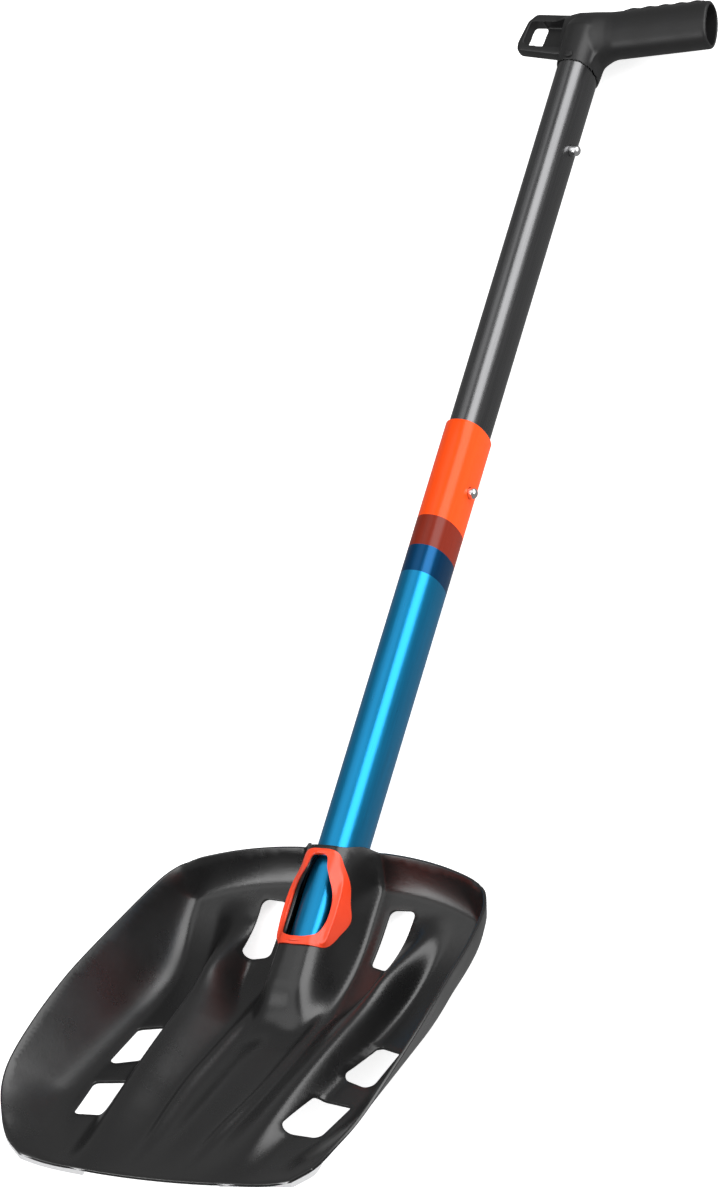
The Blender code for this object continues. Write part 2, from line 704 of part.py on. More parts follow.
def make_grip_pad(root, finish):
    """The soft strip set into the top of the grip tube, with finger ridges."""
    start, end, steps = 0.0250, 0.0790, 32
    pitch, sink, proud, ridge = 0.0108, -0.0016, 0.0003, 0.0008
    loops = []
    for i in range(steps + 1):
        along = start + (end - start) * i / steps
        fade = smooth(along, start, start + 0.004) * (1 - smooth(along, end - 0.004, end))
        wave = 0.5 - 0.5 * math.cos(2 * math.pi * (along - start) / pitch)
        loops.append(pad_loop(along, 0.0052, sink, proud + ridge * fade * wave))
    ends = (start - GAP, end + GAP)
    groove = [pad_loop(along, 0.0052 + GAP, sink - GAP, 0.0050) for along in ends]
    boolean(bpy.data.objects["grip"], cutter(loft("pad_groove", groove, root, None)))
    return loft("grip_pad", loops, root, finish)


# ---------------------------------------------------------------- the whole shovel
def main():
    clear_scene()
    root = bpy.data.objects.new("shovel_frame", None)
    root.location = (0, TOP_EDGE_Y, AXIS_HEIGHT)
    bpy.context.scene.collection.objects.link(root)
    finishes = {
        "blade": material("black_anodised", (0.020, 0.020, 0.021), 0.42, 0.6),
        "plate": material("back_plate_aluminium", (0.020, 0.020, 0.021), 0.45, 0.6),
        "plastic": material("black_plastic", (0.014, 0.014, 0.015), 0.50),
        "frame": material("orange_plastic", (0.95, 0.085, 0.030), 0.42),
        "blue": material("blue_anodised", (0.004, 0.240, 0.480), 0.30, 0.8),
        "grey": material("grey_anodised", (0.045, 0.045, 0.047), 0.35, 0.7),
        "steel": material("bright_steel", (0.70, 0.70, 0.70), 0.18, 1.0),
        "spring": material("spring_steel", (0.45, 0.45, 0.46), 0.35, 1.0),
        "grip": material("grip_plastic", (0.016, 0.016, 0.017), 0.48),
        "pad": material("grip_rubber", (0.010, 0.010, 0.010), 0.70),
    }
    make_blade(root, finishes["blade"])
    make_sleeve(root, finishes["plastic"])
    make_back_plate(root, finishes["plate"])
    make_window_frame(root, finishes["frame"])
    make_shafts(root, finishes)
    make_locks(root, finishes)
    make_grip(root, finishes)


main()
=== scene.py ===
"""The looks of the two-piece avalanche shovel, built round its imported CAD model.

Everything is in metres, in the CAD model's frame: X across the blade, Y along the shaft towards
the grip, Z up out of the scoop. Shapes are written in the shaft's own coordinates, which start
where the shaft's axis passes the blade's top edge; place() moves them into the frame.
"""

import math

import bmesh
import bpy
from mathutils import Matrix, Vector
from mathutils.geometry import delaunay_2d_cdt


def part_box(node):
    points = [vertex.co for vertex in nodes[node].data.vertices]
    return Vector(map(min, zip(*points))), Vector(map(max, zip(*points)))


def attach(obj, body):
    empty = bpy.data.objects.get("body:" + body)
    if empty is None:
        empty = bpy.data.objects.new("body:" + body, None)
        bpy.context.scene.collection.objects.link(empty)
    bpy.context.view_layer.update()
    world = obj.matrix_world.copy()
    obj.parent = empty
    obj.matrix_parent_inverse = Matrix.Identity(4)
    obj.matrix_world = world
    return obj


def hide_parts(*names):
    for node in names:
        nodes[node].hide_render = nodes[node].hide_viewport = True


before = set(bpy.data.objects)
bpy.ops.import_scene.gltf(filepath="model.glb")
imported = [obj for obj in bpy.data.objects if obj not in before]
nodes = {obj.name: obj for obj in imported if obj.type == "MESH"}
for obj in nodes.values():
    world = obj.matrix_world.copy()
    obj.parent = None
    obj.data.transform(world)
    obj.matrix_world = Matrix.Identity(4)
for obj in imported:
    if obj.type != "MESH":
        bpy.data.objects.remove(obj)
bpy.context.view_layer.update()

# ---------------------------------------------------------------- places and driving sizes
shaft_low, shaft_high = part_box("lower_shaft")
AXIS_HEIGHT = (shaft_low.z + shaft_high.z) / 2  # the shaft's axis above the ground
LOWER_SHAFT_Y = (-0.0950, 0.2900)
TOP_EDGE_Y = shaft_high.y - LOWER_SHAFT_Y[1]  # the blade's top edge, where "along" is 0

BLADE_LENGTH = 0.2680
SHEET = 0.0020  # the blade's thickness
CHANNEL_HEIGHT = -0.0145  # the blade's floor at its rear edge
CREST_HEIGHT = 0.0236  # the top of the tunnel that the shaft goes in
TUNNEL_HALF_WIDTH = 0.0213

GAP = 0.0003  # between pieces that fit in each other
LOWER_SHAFT = (0.0130, 0.0189)  # half the tube's width across X and along Z
LOWER_WALL = 0.0013
UPPER_SHAFT = (0.0114, 0.0173)
UPPER_WALL = 0.0012
UPPER_SHAFT_Y = (0.2050, 0.5845)
SHAFT_SQUARENESS = 2.35  # 2 is an ellipse, and more is squarer

BUTTON_RADIUS = 0.0035
BUTTON_HOLE = 0.0038
BUTTON_FLANGE = 0.0011  # how far its flange stands out past its stem
BUTTON_DOME = 0.0030  # the height of its rounded head
BUTTON_TIP = 0.0180  # how far from the shaft's axis it reaches
EXTEND_BUTTON_Y = 0.2480
STOW_BUTTON_Y = 0.4995

GRIP_TILT = math.radians(8.5)
GRIP_SECTION = (0.0162, 0.0121)  # half its size across the tube and along Z
GRIP_BORE = (0.0140, 0.0097)
GRIP_SQUARENESS = 2.3
GRIP_AXIS_Y = 0.5841
GRIP_END_X = 0.0832
GRIP_COLLAR_Y = 0.5562


# ---------------------------------------------------------------- small helpers
def smooth(value, low, high):
    """0 below low, 1 above high, and an S curve between."""
    t = min(max((value - low) / (high - low), 0.0), 1.0)
    return t * t * (3.0 - 2.0 * t)


def through_points(points, at):
    """The smooth curve through (position, value) points, read at one position."""
    if at <= points[0][0]:
        return points[0][1]
    for i in range(len(points) - 1):
        (x0, y0), (x1, y1) = points[i], points[i + 1]
        if at > x1:
            continue
        before = points[max(i - 1, 0)]
        after = points[min(i + 2, len(points) - 1)]
        slope0 = (y1 - before[1]) / (x1 - before[0])
        slope1 = (after[1] - y0) / (after[0] - x0)
        span = x1 - x0
        t = (at - x0) / span
        return (
            y0 * (1 + 2 * t) * (1 - t) ** 2
            + slope0 * span * t * (1 - t) ** 2
            + y1 * t * t * (3 - 2 * t)
            + slope1 * span * t * t * (t - 1)
        )
    return points[-1][1]


def spline_points(points, steps):
    """A smooth open curve through 2D or 3D points, with this many steps between neighbours."""
    found = []
    count = len(points)
    for i in range(count - 1):
        p0 = Vector(points[max(i - 1, 0)])
        p1 = Vector(points[i])
        p2 = Vector(points[i + 1])
        p3 = Vector(points[min(i + 2, count - 1)])
        for k in range(steps):
            t = k / steps
            found.append(
                0.5
                * (
                    2 * p1
                    + (p2 - p0) * t
                    + (2 * p0 - 5 * p1 + 4 * p2 - p3) * t * t
                    + (3 * p1 - p0 - 3 * p2 + p3) * t**3
                )
            )
    found.append(Vector(points[-1]))
    return found


def oval(half_x, half_z, steps, squareness=SHAFT_SQUARENESS):
    """A superellipse, as (x, z) points once round."""
    found = []
    for i in range(steps):
        angle = 2 * math.pi * (i + 0.5) / steps
        c, s = math.cos(angle), math.sin(angle)
        x = math.copysign(abs(c) ** (2 / squareness), c) * half_x
        z = math.copysign(abs(s) ** (2 / squareness), s) * half_z
        found.append((x, z))
    return found


def oval_loop(half_x, half_z, y, steps=128):
    return [Vector((x, y, z)) for x, z in oval(half_x, half_z, steps)]


def circle_loop(radius, along, steps=40):
    """A circle round the X axis, at this distance along it."""
    turn = 2 * math.pi / steps
    return [
        Vector((along, radius * math.cos(i * turn), radius * math.sin(i * turn)))
        for i in range(steps)
    ]


def rounded(corners, radii, steps=8):
    """An outline with its corners rounded. Corners are (x, y) in order, and radii is one number
    for all of them or one for each."""
    found = []
    count = len(corners)
    for i, corner in enumerate(corners):
        radius = radii[i] if isinstance(radii, tuple) else radii
        here = Vector(corner)
        before = (Vector(corners[i - 1]) - here).normalized()
        after = (Vector(corners[(i + 1) % count]) - here).normalized()
        half = before.angle(after) / 2
        reach = radius / math.tan(half)
        centre = here + (before + after).normalized() * radius / math.sin(half)
        start = here + before * reach - centre
        end = here + after * reach - centre
        turn = math.pi - 2 * half
        if start.x * end.y - start.y * end.x < 0:
            turn = -turn
        for k in range(steps + 1):
            spun = Matrix.Rotation(turn * k / steps, 2) @ start
            found.append(tuple(centre + spun))
    return found


def place(obj):
    """Moves a piece from the shaft's own coordinates into the frame."""
    obj.data.transform(Matrix.Translation((0, TOP_EDGE_Y, AXIS_HEIGHT)) @ obj.matrix_world)
    obj.matrix_world = Matrix.Identity(4)
    return obj


def link(name, mesh):
    obj = bpy.data.objects.new(name, mesh)
    bpy.context.scene.collection.objects.link(obj)
    return obj


def finish_shading(mesh, angle):
    mesh.shade_smooth()
    mesh.set_sharp_from_angle(angle=math.radians(angle))


def loft(name, loops, ring=False, angle=35):
    """One closed body through the loops. A ring joins its last loop to its first; any other
    body is closed by a face on each end."""
    bm = bmesh.new()
    rows = [[bm.verts.new(point) for point in loop] for loop in loops]
    pairs = list(zip(rows, rows[1:]))
    if ring:
        pairs.append((rows[-1], rows[0]))
    for first, second in pairs:
        for i in range(len(first)):
            j = (i + 1) % len(first)
            bm.faces.new((first[i], first[j], second[j], second[i]))
    if not ring:
        bm.faces.new(rows[0])
        bm.faces.new(rows[-1])
    bmesh.ops.recalc_face_normals(bm, faces=bm.faces)
    if bm.calc_volume(signed=True) < 0:
        bmesh.ops.reverse_faces(bm, faces=bm.faces)
    mesh = bpy.data.meshes.new(name)
    bm.to_mesh(mesh)
    bm.free()
    finish_shading(mesh, angle)
    return link(name, mesh)


def prism(name, outline, low, high):
    """An outline in the XY plane, carried from low to high along Z."""
    return loft(name, [[Vector((x, y, z)) for x, y in outline] for z in (low, high)])


def apply_modifiers(obj):
    graph = bpy.context.evaluated_depsgraph_get()
    made = bpy.data.meshes.new_from_object(obj.evaluated_get(graph), depsgraph=graph)
    obj.modifiers.clear()
    obj.data = made
    return obj


def boolean(obj, other, operation="DIFFERENCE", solver="EXACT"):
    """Applies one Boolean and removes its cutter."""
    cut = obj.modifiers.new("cut", "BOOLEAN")
    cut.operation = operation
    cut.solver = solver
    cut.object = other
    bpy.context.view_layer.update()
    apply_modifiers(obj)
    bpy.data.objects.remove(other)
    return obj


def bevel_edges(obj, width, segments=2, angle=40):
    edge = obj.modifiers.new("edges", "BEVEL")
    edge.width = width
    edge.segments = segments
    edge.limit_method = "ANGLE"
    edge.angle_limit = math.radians(angle)
    edge.harden_normals = False
    return obj


# ---------------------------------------------------------------- materials
class Shader:
    """A material's node tree with its Principled shader, and short ways to add nodes."""

    def __init__(self, name, colour, roughness, metallic=0.0):
        self.material = bpy.data.materials.new(name)
        self.material.use_nodes = True
        self.tree = self.material.node_tree
        self.shader = self.tree.nodes["Principled BSDF"]
        self.set("Base Color", (*colour, 1.0))
        self.set("Roughness", roughness)
        self.set("Metallic", metallic)
        self.position = self.node("ShaderNodeTexCoord").outputs["Object"]

    def set(self, socket, value):
        self.shader.inputs[socket].default_value = value

    def node(self, kind, **settings):
        made = self.tree.nodes.new(kind)
        for key, value in settings.items():
            setattr(made, key, value)
        return made

    def join(self, source, target):
        self.tree.links.new(source, target)

    def stretched(self, scale):
        """The object's own coordinates, scaled by a different amount along each axis."""
        mapping = self.node("ShaderNodeMapping")
        mapping.inputs["Scale"].default_value = scale
        self.join(self.position, mapping.inputs["Vector"])
        return mapping.outputs["Vector"]

    def noise(self, scale, detail=4.0, roughness=0.55, stretch=None):
        made = self.node("ShaderNodeTexNoise")
        made.inputs["Scale"].default_value = scale
        made.inputs["Detail"].default_value = detail
        made.inputs["Roughness"].default_value = roughness
        self.join(self.stretched(stretch) if stretch else self.position, made.inputs["Vector"])
        return made.outputs["Fac"]

    def to_range(self, value, low, high, out_low, out_high):
        made = self.node("ShaderNodeMapRange")
        made.inputs["From Min"].default_value = low
        made.inputs["From Max"].default_value = high
        made.inputs["To Min"].default_value = out_low
        made.inputs["To Max"].default_value = out_high
        self.join(value, made.inputs["Value"])
        return made.outputs["Result"]

    def mix(self, factor, first, second):
        """A colour mix. first and second are colours or sockets."""
        made = self.node("ShaderNodeMix", data_type="RGBA")
        self.join(factor, made.inputs["Factor"])
        for socket, value in ((made.inputs[6], first), (made.inputs[7], second)):
            if isinstance(value, bpy.types.NodeSocket):
                self.join(value, socket)
            else:
                socket.default_value = (*value, 1.0)
        return made.outputs[2]

    def bump(self, height, strength, distance):
        made = self.node("ShaderNodeBump")
        made.inputs["Strength"].default_value = strength
        made.inputs["Distance"].default_value = distance
        self.join(height, made.inputs["Height"])
        if self.shader.inputs["Normal"].is_linked:
            self.join(self.shader.inputs["Normal"].links[0].from_socket, made.inputs["Normal"])
        self.join(made.outputs["Normal"], self.shader.inputs["Normal"])

    def drive(self, socket, value):
        self.join(value, self.shader.inputs[socket])


def coated_black():
    """The blade's hard black coat: fine powder grain, and a slightly uneven gloss."""
    made = Shader("black_coat", (0.007, 0.007, 0.0073), 0.32)
    made.set("Specular IOR Level", 0.70)
    cloud = made.noise(28, detail=5)
    made.drive("Roughness", made.to_range(cloud, 0.3, 0.7, 0.25, 0.33))
    grain = made.noise(2600, detail=3)
    tint = made.to_range(grain, 0.3, 0.7, 0.0, 1.0)
    made.drive("Base Color", made.mix(tint, (0.006, 0.006, 0.0062), (0.009, 0.009, 0.0092)))
    made.bump(grain, 0.10, 0.00025)
    made.bump(made.noise(420, detail=2), 0.06, 0.0006)
    return made.material


def bare_aluminium():
    """The ground strips: bright metal with the grinding marks across the edge."""
    made = Shader("ground_aluminium", (0.80, 0.80, 0.81), 0.40, 0.25)
    marks = made.noise(900, detail=3, stretch=(6.0, 0.6, 0.6))
    made.drive("Roughness", made.to_range(marks, 0.3, 0.7, 0.28, 0.46))
    made.bump(marks, 0.18, 0.0002)
    return made.material


BLUE, BLUE_METALLIC = (0.008, 0.265, 0.54), 0.9
# Each printed band: where it starts along the shaft, its colour and how metallic it is.
BANDS = (
    (0.1820, (0.0, 0.068, 0.190), 0.85),
    (0.2004, (0.205, 0.016, 0.004), 0.0),
    (0.2213, (1.0, 0.078, 0.003), 0.10),
)


def shaft_bands():
    """Blue anodised tube with printed bands: dark blue, dark red, then orange to the top."""
    made = Shader("blue_anodised", BLUE, 0.32, BLUE_METALLIC)
    made.set("Coat Weight", 0.22)
    made.set("Coat Roughness", 0.20)
    made.set("Specular IOR Level", 0.20)
    split = made.node("ShaderNodeSeparateXYZ")
    made.join(made.position, split.inputs["Vector"])
    colour, metallic = BLUE, BLUE_METALLIC
    for start, shade, metal in BANDS:
        above = made.node("ShaderNodeMath", operation="GREATER_THAN")
        made.join(split.outputs["Y"], above.inputs[0])
        above.inputs[1].default_value = start + TOP_EDGE_Y
        colour = made.mix(above.outputs[0], colour, shade)
        step = made.node("ShaderNodeMix", data_type="FLOAT")
        made.join(above.outputs[0], step.inputs["Factor"])
        if isinstance(metallic, float):
            step.inputs[2].default_value = metallic
        else:
            made.join(metallic, step.inputs[2])
        step.inputs[3].default_value = metal
        metallic = step.outputs[0]
    brushed = made.noise(700, detail=4, stretch=(1.0, 0.03, 1.0))
    streaks = made.to_range(brushed, 0.25, 0.75, 0.90, 1.06)
    varied = made.node("ShaderNodeVectorMath", operation="SCALE")
    made.join(colour, varied.inputs[0])
    made.join(streaks, varied.inputs["Scale"])
    made.drive("Base Color", varied.outputs["Vector"])
    made.drive("Metallic", metallic)
    made.drive("Roughness", made.to_range(brushed, 0.25, 0.75, 0.27, 0.36))
    made.bump(brushed, 0.05, 0.0002)
    return made.material


def grey_anodised():
    """The upper tube: dark grey anodised aluminium with a drawn grain along its length."""
    made = Shader("grey_anodised", (0.15, 0.15, 0.153), 0.27, 1.0)
    brushed = made.noise(800, detail=4, stretch=(1.0, 0.025, 1.0))
    made.drive("Roughness", made.to_range(brushed, 0.25, 0.75, 0.24, 0.32))
    streaks = made.to_range(brushed, 0.25, 0.75, 0.0, 1.0)
    made.drive("Base Color", made.mix(streaks, (0.130, 0.130, 0.133), (0.165, 0.165, 0.168)))
    made.bump(brushed, 0.06, 0.0002)
    return made.material


def moulded(name, colour, dark, roughness, grain_scale=3200, grain=0.12):
    """Injection-moulded plastic: a fine spark-eroded grain and a slow change in gloss."""
    made = Shader(name, colour, roughness)
    fine = made.noise(grain_scale, detail=2)
    slow = made.noise(60, detail=3)
    made.drive("Base Color", made.mix(made.to_range(slow, 0.3, 0.7, 0.0, 1.0), colour, dark))
    made.drive("Roughness", made.to_range(slow, 0.3, 0.7, roughness - 0.04, roughness + 0.05))
    made.bump(fine, grain, 0.00015)
    return made.material


def steel(name, colour, roughness):
    """Plain steel with faint polishing marks."""
    made = Shader(name, colour, roughness, 1.0)
    marks = made.noise(1500, detail=3)
    made.drive("Roughness", made.to_range(marks, 0.3, 0.7, roughness * 0.8, roughness * 1.3))
    made.bump(marks, 0.04, 0.0001)
    return made.material


# ---------------------------------------------------------------- the blade's surface
# The right-hand side edge in plan, as (along, x), and the height of its rim, as (along, z).
SIDE = (
    (0.0190, 0.0970), (0.0246, 0.1026), (0.0380, 0.1087), (0.0666, 0.1139),
    (0.0990, 0.1172), (0.1300, 0.1199), (0.1650, 0.1207), (0.2000, 0.1192),
    (0.2180, 0.1157), (0.2330, 0.1097), (0.2500, 0.1005), (0.2605, 0.0880),
)
RIM = (
    (0.0190, 0.0045), (0.0380, 0.0128), (0.0666, 0.0281), (0.0990, 0.0471),
    (0.1300, 0.0640), (0.1767, 0.0863), (0.2045, 0.0970), (0.2330, 0.1030),
    (0.2605, 0.1050),
)


def rear_edge(x):
    """The rear edge in plan, set back over the tunnel, where the socket's mouth is cut slanting."""
    set_back = 0.0080 * math.exp(-((abs(x) / 0.0165) ** 6))
    return 0.0020 + 0.0170 * min(abs(x) / SIDE[0][1], 1.0) ** 2.8 + set_back


def tip_edge(x):
    return BLADE_LENGTH - (BLADE_LENGTH - SIDE[-1][0]) * (abs(x) / SIDE[-1][1]) ** 2


def channel(along):
    """The floor between the walls: flat at the rear, then curving up to a straight slope."""
    start, end, slope = 0.045, 0.128, 0.66
    run = min(max(along - start, 0.0), end - start)
    beyond = max(along - end, 0.0)
    return CHANNEL_HEIGHT + slope * (run * run / (2 * (end - start)) + beyond)


def tunnel(x, along):
    """The hump over the shaft. It ends softly at its foot and fades out past the window."""
    height = max(CREST_HEIGHT - channel(along), 0.0) * (1 - smooth(along, 0.100, 0.150))
    above_foot = (math.exp(-((abs(x) / TUNNEL_HALF_WIDTH) ** 4)) - 0.12) / 0.88
    return height * (above_foot + math.hypot(above_foot, 0.03)) / 2


def centre_ridges(x, along):
    """A low ridge along the middle with a sharper crease on either side of it."""
    fade = 1 - smooth(along, 0.205, 0.262)
    middle = 0.0040 * math.exp(-((x / 0.009) ** 2)) * smooth(along, 0.115, 0.160)
    crease_at = 0.0243 - 0.006 * smooth(along, 0.17, 0.25)
    height = 0.0046 * smooth(along, 0.085, 0.140)
    crease = height * math.exp(-(((abs(x) - crease_at) / 0.0036) ** 2))
    return (middle + crease) * fade


def side_rib(x, along):
    """The broad pressed rib between the tunnel and the wall on either side."""
    centre = 0.0605 - 0.06 * (along - 0.045) + 0.004 * math.exp(-max(along - 0.045, 0) / 0.02)
    height = 0.0205 * smooth(along, 0.030, 0.095)
    height *= 1 - min(max((along - 0.115) / 0.150, 0.0), 1.0) ** 2
    across = abs(x) - centre
    inner = 0.0170 + 0.0130 * smooth(along, 0.085, 0.130)
    width = inner if across < 0 else 0.0150
    return height * (1 - smooth(abs(across), 0.0, width))


def walls(x, along, half_width):
    """The side wall with a fillet at its foot, blended with the step along the rear edge."""
    start = 0.086 + 0.007 * (1 - smooth(along, 0.045, 0.095))
    start -= 0.022 * smooth(along, 0.200, 0.262)
    start = min(start, half_width - 0.0150)
    run = half_width - start
    fillet = min(0.0160, 0.8 * run)
    side = min(max(abs(x) - start, 0.0), run)
    side_rise = side * side / (2 * fillet) if side < fillet else side - fillet / 2
    rim_height = through_points(RIM, along) - channel(along)
    side_height = rim_height * side_rise / (run - fillet / 2)
    run = 0.0180
    rear = 1 - min(max(along - rear_edge(x), 0.0) / run, 1.0)
    rim = 0.0010 + 0.0035 * (min(abs(x) / SIDE[0][1], 1.0)) ** 4
    rear_height = (rim - CHANNEL_HEIGHT) * rear**1.5
    return side_height + rear_height * (1 - side_height / rim_height)


def blade_height(x, along):
    """The height of the blade's upper face."""
    half_width = max(through_points(SIDE, along), abs(x))
    tunnel_share = math.exp(-((abs(x) / TUNNEL_HALF_WIDTH) ** 6))
    return (
        channel(along)
        + tunnel(x, along)
        + centre_ridges(x, along)
        + side_rib(x, along)
        + walls(x, along, half_width) * (1 - tunnel_share)
    )


# ---------------------------------------------------------------- the blade
# The strap holes on the right side: four (x, along) corners from the inner rear one outwards, and
# the radius of each.
STRAP_HOLES = (
    (
        ((0.0350, 0.0315), (0.0520, 0.0305), (0.0501, 0.0743), (0.0340, 0.0705)),
        (0.0045, 0.0045, 0.0050, 0.0045),
    ),
    (
        ((0.0715, 0.1340), (0.0872, 0.1382), (0.0876, 0.1735), (0.0650, 0.1660)),
        (0.0030, 0.0030, 0.0050, 0.0070),
    ),
    (
        ((0.0618, 0.1858), (0.0852, 0.1895), (0.0812, 0.2195), (0.0560, 0.2180)),
        (0.0025, 0.0030, 0.0050, 0.0060),
    ),
)


def spread(points, pitch, closed=True):
    """The same outline with points no further apart than pitch."""
    found = []
    count = len(points)
    for i in range(count if closed else count - 1):
        here, there = Vector(points[i]), Vector(points[(i + 1) % count])
        parts = max(1, math.ceil((there - here).length / pitch))
        found += [here.lerp(there, k / parts) for k in range(parts)]
    if not closed:
        found.append(Vector(points[-1]))
    return found


def blade_outline():
    """The blade's edge in plan, as (x, along), once round."""
    steps = 120
    half = SIDE[0][1]
    across = [-half + 2 * half * i / steps for i in range(steps)]
    rear = [(x, rear_edge(x)) for x in across]
    first, last = SIDE[0][0], SIDE[-1][0]
    rows = [first + (last - first) * i / steps for i in range(steps)]
    right = [(through_points(SIDE, row), row) for row in rows]
    half = SIDE[-1][1]
    across = [half - 2 * half * i / steps for i in range(steps + 1)]
    tip = [(x, tip_edge(x)) for x in across]
    left = [(-x, row) for x, row in reversed(right)]
    return spread(rear + right + tip + left[:-1], 0.0015)


def inside(point, outline):
    """Whether a point lies inside a closed outline."""
    x, y = point
    found = False
    before = outline[-1]
    for here in outline:
        if (here[1] > y) != (before[1] > y):
            cross = before[0] + (y - before[1]) / (here[1] - before[1]) * (here[0] - before[0])
            if x < cross:
                found = not found
        before = here
    return found


def plan_mesh(outer, holes, pitch):
    """Triangles that fill the outline and leave out the holes: (points, triangles)."""
    loops = [outer] + holes
    points = [Vector((p[0], p[1])) for loop in loops for p in loop]
    edges = []
    start = 0
    for loop in loops:
        edges += [(start + i, start + (i + 1) % len(loop)) for i in range(len(loop))]
        start += len(loop)
    taken = {(round(p.x / pitch * 1.4), round(p.y / pitch * 1.4)) for p in points}
    low_x = min(p.x for p in points)
    high_x = max(p.x for p in points)
    low_y = min(p.y for p in points)
    high_y = max(p.y for p in points)
    row = 0
    y = low_y
    while y < high_y:
        x = low_x + (pitch / 2 if row % 2 else 0.0)
        while x < high_x:
            cell = (round(x / pitch * 1.4), round(y / pitch * 1.4))
            around = [(cell[0] + i, cell[1] + j) for i in (-1, 0, 1) for j in (-1, 0, 1)]
            near = any(place_taken in taken for place_taken in around)
            in_hole = any(inside((x, y), hole) for hole in holes)
            if not near and not in_hole and inside((x, y), outer):
                points.append(Vector((x, y)))
            x += pitch
        y += pitch * 0.866
        row += 1
    made = delaunay_2d_cdt(points, edges, [], 1, 1e-7)
    corners, triangles = made[0], made[2]
    kept = []
    for triangle in triangles:
        middle = sum((corners[i] for i in triangle), Vector((0, 0))) / 3
        if not any(inside(middle, hole) for hole in holes):
            kept.append(triangle)
    return corners, kept


def make_blade():
    """The pressed blade: one fine sheet with its thickness and rounded edges."""
    holes = []
    for corners, radii in STRAP_HOLES:
        for side in (1, -1):
            outline = [(side * x, along) for x, along in rounded(corners, radii)]
            holes.append(spread(outline, 0.0014))
    holes.append(spread(window_inner(GAP), 0.0012))
    corners, triangles = plan_mesh(blade_outline(), holes, 0.0021)
    bm = bmesh.new()
    verts = [bm.verts.new((p.x, -p.y, blade_height(p.x, p.y))) for p in corners]
    for triangle in triangles:
        bm.faces.new([verts[i] for i in triangle])
    loose = [v for v in bm.verts if not v.link_faces]
    bmesh.ops.delete(bm, geom=loose, context="VERTS")
    bmesh.ops.recalc_face_normals(bm, faces=bm.faces)
    if sum(f.normal.z for f in bm.faces) < 0:
        bmesh.ops.reverse_faces(bm, faces=bm.faces)
    mesh = bpy.data.meshes.new("blade_sheet")
    bm.to_mesh(mesh)
    bm.free()
    blade = link("blade_sheet", mesh)
    sheet = blade.modifiers.new("sheet", "SOLIDIFY")
    sheet.thickness = SHEET
    sheet.offset = -1
    sheet.use_even_offset = True
    bevel_edges(blade, 0.00045, 2, 50)
    apply_modifiers(blade)
    finish_shading(blade.data, 60)
    blade.data.materials.append(finishes["coat"])
    place(blade)
    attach(blade, "blade_unit")
    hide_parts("blade")
    return blade


def make_ground_edges():
    """The bright ground strip under each corner of the tip."""
    across = [0.0430 + 0.0450 * i / 30 for i in range(30)]
    path = [(x, tip_edge(x)) for x in across]
    rows = [SIDE[-1][0] - 0.0190 * i / 24 for i in range(25)]
    path += [(through_points(SIDE, row), row) for row in rows]
    for name, side in (("left", -1), ("right", 1)):
        loops = []
        for i, (x, s) in enumerate(path):
            before, after = path[max(i - 1, 0)], path[min(i + 1, len(path) - 1)]
            run = Vector((after[0] - before[0], -(after[1] - before[1]), 0)).normalized()
            out = Vector((run.y, -run.x, 0))
            share = i / (len(path) - 1)
            taper = smooth(share, 0.0, 0.03) * (1 - smooth(share, 0.72, 1.0) * 0.92)
            width = 0.0003 + 0.0046 * taper
            top = Vector((x, -s, blade_height(x, s) - 0.0004))
            fall = (out * 0.42 + Vector((0, 0, -0.90))).normalized()
            foot = top + fall * width
            loop = [top + out * 0.0002, foot, foot - out * 0.0009, top - out * 0.0022]
            loop[3].z -= 0.0017
            loops.append([Vector((side * p.x, p.y, p.z)) for p in loop])
        strip = loft(f"ground_edge_{name}", loops, angle=30)
        strip.data.materials.append(finishes["ground"])
        place(strip)
        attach(strip, "blade_unit")


# ---------------------------------------------------------------- the orange frame
# Half of the frame, from the middle of its top bar to the middle of its foot: the window's edge,
# the shoulder and the outer edge at each station, as (x, along).
STATIONS = (
    ((0.0000, 0.0170), (0.0000, 0.0142), (0.0000, 0.0132)),
    ((0.0040, 0.0174), (0.0055, 0.0143), (0.0060, 0.0133)),
    ((0.0058, 0.0198), (0.0100, 0.0159), (0.0108, 0.0146)),
    ((0.0070, 0.0250), (0.0131, 0.0207), (0.0137, 0.0197)),
    ((0.0100, 0.0320), (0.0160, 0.0280), (0.0170, 0.0280)),
    ((0.0129, 0.0400), (0.0176, 0.0380), (0.0186, 0.0390)),
    ((0.0139, 0.0510), (0.0180, 0.0500), (0.0199, 0.0485)),
    ((0.0132, 0.0615), (0.0176, 0.0615), (0.0186, 0.0595)),
    ((0.0112, 0.0682), (0.0160, 0.0718), (0.0160, 0.0722)),
    ((0.0060, 0.0714), (0.0096, 0.0750), (0.0106, 0.0760)),
    ((0.0000, 0.0720), (0.0000, 0.0756), (0.0000, 0.0770)),
)
FRAME_SHOULDER = 0.0180
FRAME_CROWN = 0.0263


def frame_curve(which, steps=10):
    """The inner (0), shoulder (1) or outer (2) curve of the frame, once round, as (x, along)."""
    right = spline_points([station[which] for station in STATIONS], steps)
    left = [Vector((-p.x, p.y)) for p in reversed(right[1:-1])]
    return right + left


def window_inner(grow):
    """The window's outline, moved outwards by grow."""
    curve = frame_curve(0, 8)
    found = []
    for i, point in enumerate(curve):
        along = (curve[(i + 1) % len(curve)] - curve[i - 1]).normalized()
        found.append(point + Vector((along.y, -along.x)) * grow)
    return found


def frame_top(x):
    """The height of the frame's top facet."""
    share = max(1 - (abs(x) / 0.0155) ** 2, 0.0)
    return FRAME_SHOULDER + (FRAME_CROWN - FRAME_SHOULDER) * share**1.2


